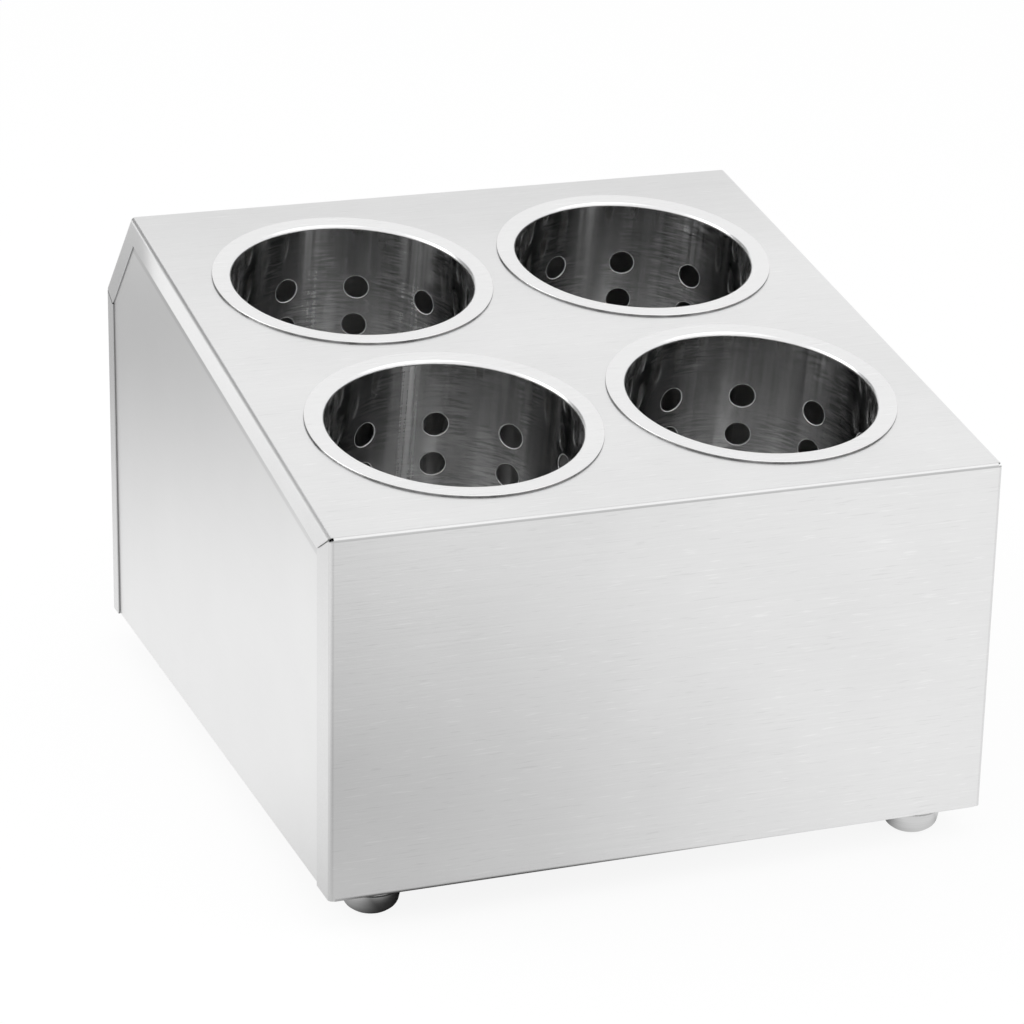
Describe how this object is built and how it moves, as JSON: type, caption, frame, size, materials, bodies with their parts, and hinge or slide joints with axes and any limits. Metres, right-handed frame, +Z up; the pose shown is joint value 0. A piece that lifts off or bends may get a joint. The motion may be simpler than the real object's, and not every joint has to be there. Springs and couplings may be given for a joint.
{
  "type": "cutlery holder",
  "caption": "Free-standing stainless cutlery holder: a folded housing with a sloping top whose round holes carry perforated lift-out cups, on bowl-shaped feet.",
  "frame": {"origin": "on the floor under the middle of the housing", "axes": "+Z up, front towards -Y, +X to the right when the front is looked at"},
  "size_m": [0.265, 0.305, 0.1999],
  "materials": {
    "housing_steel": "brushed stainless sheet",
    "cup_steel": "polished stainless with fine turning marks",
    "foot_chrome": "polished"
  },
  "bodies": {
    "housing": {"housing_shell": "housing_steel", "left_side_panel": "housing_steel", "right_side_panel": "housing_steel", "feet": "foot_chrome"},
    "cup_front_left": {"cup_wall_front_left": "cup_steel", "cup_base_front_left": "cup_steel"},
    "cup_front_right": {"cup_wall_front_right": "cup_steel", "cup_base_front_right": "cup_steel"},
    "cup_rear_left": {"cup_wall_rear_left": "cup_steel", "cup_base_rear_left": "cup_steel"},
    "cup_rear_right": {"cup_wall_rear_right": "cup_steel", "cup_base_rear_right": "cup_steel"}
  },
  "joints": [
    {"name": "cup_front_left_lift", "type": "slide", "parent": "housing", "child": "cup_front_left", "axis": [0, -0.1736, 0.9848], "range_m": [0, 0.15]},
    {"name": "cup_front_right_lift", "type": "slide", "parent": "housing", "child": "cup_front_right", "axis": [0, -0.1736, 0.9848], "range_m": [0, 0.15]},
    {"name": "cup_rear_left_lift", "type": "slide", "parent": "housing", "child": "cup_rear_left", "axis": [0, -0.1736, 0.9848], "range_m": [0, 0.15]},
    {"name": "cup_rear_right_lift", "type": "slide", "parent": "housing", "child": "cup_rear_right", "axis": [0, -0.1736, 0.9848], "range_m": [0, 0.15]}
  ]
}
